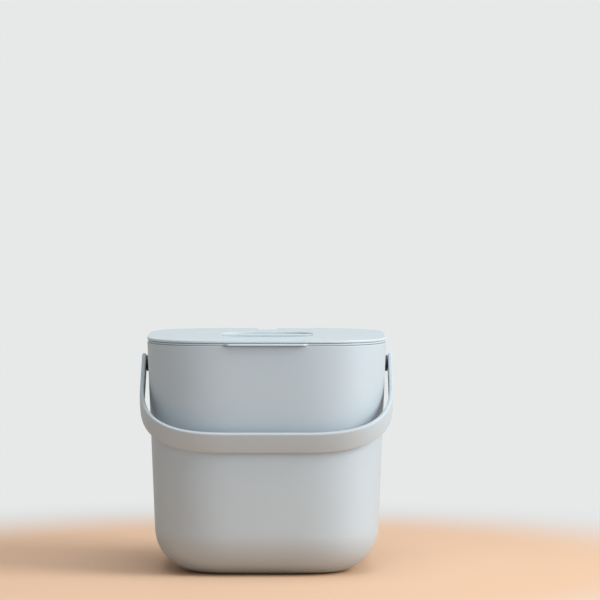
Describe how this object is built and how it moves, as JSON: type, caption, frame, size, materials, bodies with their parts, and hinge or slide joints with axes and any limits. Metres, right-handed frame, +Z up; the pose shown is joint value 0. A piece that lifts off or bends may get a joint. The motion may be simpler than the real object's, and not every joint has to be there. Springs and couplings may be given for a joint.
{
  "type": "kitchen compost bin",
  "caption": "Rounded-square plastic kitchen compost bin with a swing carrying handle, a lift-out slotted strainer basket and a flat lid with a finger well, a grip bar and an edge notch.",
  "frame": {"origin": "middle of the bucket's flat base, on the surface it stands on", "axes": "+Z up, out of the bucket's mouth; -Y is the front, where the basket's tab is and the handle hangs at rest; +Y is the back, where the lid's notch is; +X is the right-hand side seen from the front, and the handle's pivots lie on a line along X"},
  "size_m": [0.2328, 0.2302, 0.2158],
  "materials": {
    "bin_plastic": "satin",
    "pale_plastic": "satin",
    "bar_plastic": "satin",
    "pin_plastic": "satin"
  },
  "bodies": {
    "bin": {"bin_body": "bin_plastic", "pivot_pin_left": "pin_plastic", "pivot_pin_right": "pin_plastic"},
    "handle": {"handle": "bin_plastic"},
    "basket": {"strainer_basket": "pale_plastic"},
    "lid": {"lid": "pale_plastic", "lid_grip_bar": "bar_plastic"}
  },
  "joints": [
    {"name": "handle_swing", "type": "hinge", "parent": "bin", "child": "handle", "pos_m": [0, 0, 0.189], "axis": [-1, 0, 0], "range_deg": [0, 239.5]},
    {"name": "basket_lift", "type": "slide", "parent": "bin", "child": "basket", "axis": [0, 0, 1], "range_m": [0, 0.11]},
    {"name": "lid_lift", "type": "slide", "parent": "basket", "child": "lid", "axis": [0, 0, 1], "range_m": [0, 0.075]}
  ]
}
